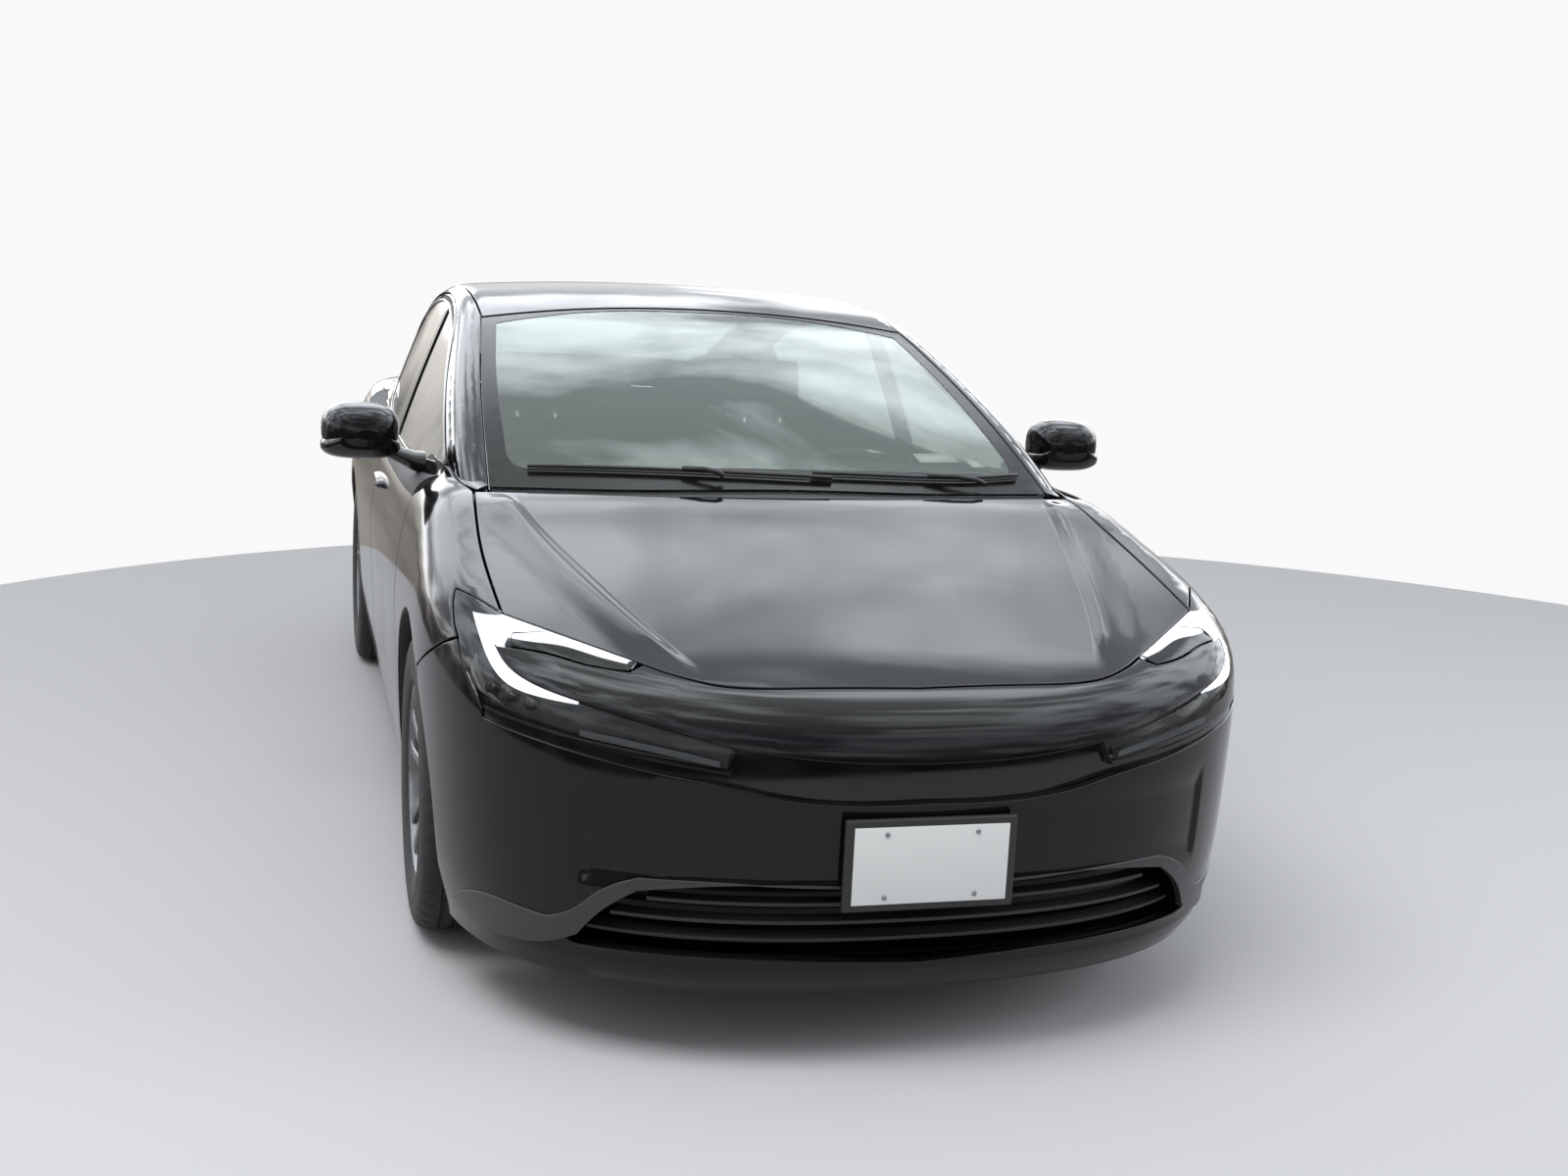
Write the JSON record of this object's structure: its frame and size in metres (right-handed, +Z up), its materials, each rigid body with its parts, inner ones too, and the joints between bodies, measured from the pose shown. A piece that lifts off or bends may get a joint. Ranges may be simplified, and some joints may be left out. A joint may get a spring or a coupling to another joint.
{
  "type": "five-door hybrid hatchback car",
  "caption": "Low wedge-shaped five-door hybrid hatchback with opening doors, hood and tailgate, steered front wheels and free-rolling wheels.",
  "frame": {"origin": "on the ground, midway along and across the body", "axes": "+Y runs from the nose to the tail, +X to the left of the car, +Z up"},
  "size_m": [2.0752, 4.6013, 1.4299],
  "materials": {
    "paint": "gloss",
    "glass": "gloss",
    "black_plastic": "matte",
    "gloss_black": "gloss",
    "lamp": "gloss",
    "tail_lamp": "gloss",
    "tyre": "matte",
    "wheel": "satin",
    "steel": "satin",
    "cast": "matte",
    "fabric": "matte",
    "interior": "matte"
  },
  "bodies": {
    "root": {"floor_pan": "black_plastic", "body_side_left": "paint", "body_side_right": "paint", "roof_panel": "paint", "fenders": "paint", "front_bumper": "paint", "rear_bumper": "paint", "headlamps": "lamp", "tail_lamps": "tail_lamp", "windshield": "glass", "cowl_panel": "black_plastic", "wipers": "black_plastic", "lower_grille": "black_plastic", "wheel_liners": "black_plastic", "engine": "cast", "front_subframe": "cast", "rear_axle": "cast", "hybrid_battery": "black_plastic", "exhaust": "steel", "front_seats": "fabric", "rear_seat": "fabric", "dashboard": "interior"},
    "hood_lid": {"hood": "paint"},
    "tailgate_lid": {"tailgate": "paint", "tailgate_glass": "glass", "tail_lamp_bar": "tail_lamp"},
    "front_door_left_leaf": {"front_door_left": "paint", "front_door_glass_left": "glass", "mirror_left": "gloss_black"},
    "rear_door_left_leaf": {"rear_door_left": "paint", "rear_door_glass_left": "glass"},
    "steer_left": {"knuckle_left": "cast"},
    "front_wheel_left": {"wheel_front_left": "wheel", "tyre_front_left": "tyre"},
    "rear_wheel_left": {"wheel_rear_left": "wheel", "tyre_rear_left": "tyre"},
    "front_door_right_leaf": {"front_door_right": "paint", "front_door_glass_right": "glass", "mirror_right": "gloss_black"},
    "rear_door_right_leaf": {"rear_door_right": "paint", "rear_door_glass_right": "glass"},
    "steer_right": {"knuckle_right": "cast"},
    "front_wheel_right": {"wheel_front_right": "wheel", "tyre_front_right": "tyre"},
    "rear_wheel_right": {"wheel_rear_right": "wheel", "tyre_rear_right": "tyre"},
    "steering": {"steering_wheel": "interior"}
  },
  "joints": [
    {"name": "front_door_left", "type": "hinge", "parent": "root", "child": "front_door_left_leaf", "pos_m": [0.8905, -0.924, 0.6], "axis": [0, 0, -1], "range_deg": [0, 66]},
    {"name": "rear_door_left", "type": "hinge", "parent": "root", "child": "rear_door_left_leaf", "pos_m": [0.8905, 0.186, 0.6], "axis": [0, 0, -1], "range_deg": [0, 66]},
    {"name": "front_door_right", "type": "hinge", "parent": "root", "child": "front_door_right_leaf", "pos_m": [-0.8905, -0.924, 0.6], "axis": [0, 0, 1], "range_deg": [0, 66]},
    {"name": "rear_door_right", "type": "hinge", "parent": "root", "child": "rear_door_right_leaf", "pos_m": [-0.8905, 0.186, 0.6], "axis": [0, 0, 1], "range_deg": [0, 66]},
    {"name": "hood_hinge", "type": "hinge", "parent": "root", "child": "hood_lid", "pos_m": [0, -1.202, 0.97], "axis": [-1, 0, 0], "range_deg": [0, 50]},
    {"name": "tailgate_hinge", "type": "hinge", "parent": "root", "child": "tailgate_lid", "pos_m": [0, 1.046, 1.385], "axis": [1, 0, 0], "range_deg": [0, 72]},
    {"name": "steer_left", "type": "hinge", "parent": "root", "child": "steer_left", "pos_m": [0.718, -1.35, 0.198], "axis": [-0.2328, 0, 0.9725], "range_deg": [-34, 34]},
    {"name": "steer_right", "type": "hinge", "parent": "root", "child": "steer_right", "pos_m": [-0.718, -1.35, 0.198], "axis": [0.2328, 0, 0.9725], "range_deg": [-34, 34]},
    {"name": "steering_wheel_turn", "type": "hinge", "parent": "root", "child": "steering", "pos_m": [0.37, -0.46, 0.835], "axis": [0, 0.9062, 0.4229], "range_deg": [-480, 480]},
    {"name": "spin_front_left", "type": "hinge", "parent": "steer_left", "child": "front_wheel_left", "pos_m": [0.78, -1.35, 0.333], "axis": [1, 0, 0], "continuous": true},
    {"name": "spin_rear_left", "type": "hinge", "parent": "root", "child": "rear_wheel_left", "pos_m": [0.78, 1.4, 0.333], "axis": [1, 0, 0], "continuous": true},
    {"name": "spin_front_right", "type": "hinge", "parent": "steer_right", "child": "front_wheel_right", "pos_m": [-0.78, -1.35, 0.333], "axis": [1, 0, 0], "continuous": true},
    {"name": "spin_rear_right", "type": "hinge", "parent": "root", "child": "rear_wheel_right", "pos_m": [-0.78, 1.4, 0.333], "axis": [1, 0, 0], "continuous": true}
  ],
  "couplings": [
    {"joint": "steer_right", "follows": "steer_left", "ratio": 1},
    {"joint": "steering_wheel_turn", "follows": "steer_left", "ratio": 14}
  ]
}
